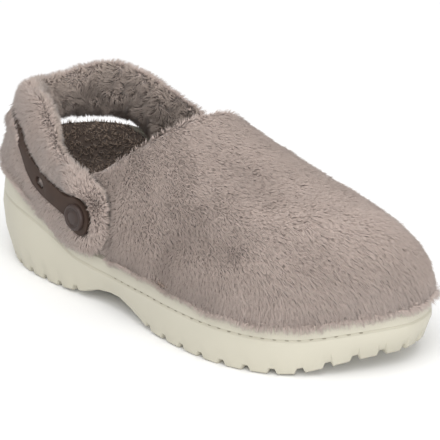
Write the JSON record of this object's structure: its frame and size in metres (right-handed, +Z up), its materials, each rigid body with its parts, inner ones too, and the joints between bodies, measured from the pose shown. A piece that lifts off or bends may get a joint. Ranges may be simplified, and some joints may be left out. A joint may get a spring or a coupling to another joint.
{
  "type": "clog slipper",
  "caption": "Fuzzy clog slipper: moulded foam sole with heel cup and lugs, hollow fur vamp, puffy fur heel band with rubber strap held by rivets, fleece footbed.",
  "frame": {"origin": "centre of the bounding box on the floor, under the middle of the sole", "axes": "+X from heel to toe, +Y toward the inner side of the foot, +Z up"},
  "size_m": [0.2636, 0.1083, 0.0917],
  "materials": {
    "foam": "matte cream closed-cell foam",
    "fleece": "dark brown curly fleece",
    "fur": "long soft taupe faux fur",
    "strap_rubber": "smooth dark brown rubber",
    "rivet_plastic": "dark brown moulded plastic with a plain ring"
  },
  "bodies": {
    "root": {"sole": "foam", "insole": "fleece", "upper": "fur", "heel_band": "fur", "strap": "strap_rubber", "rivet_lateral": "rivet_plastic", "rivet_medial": "rivet_plastic"}
  },
  "joints": []
}
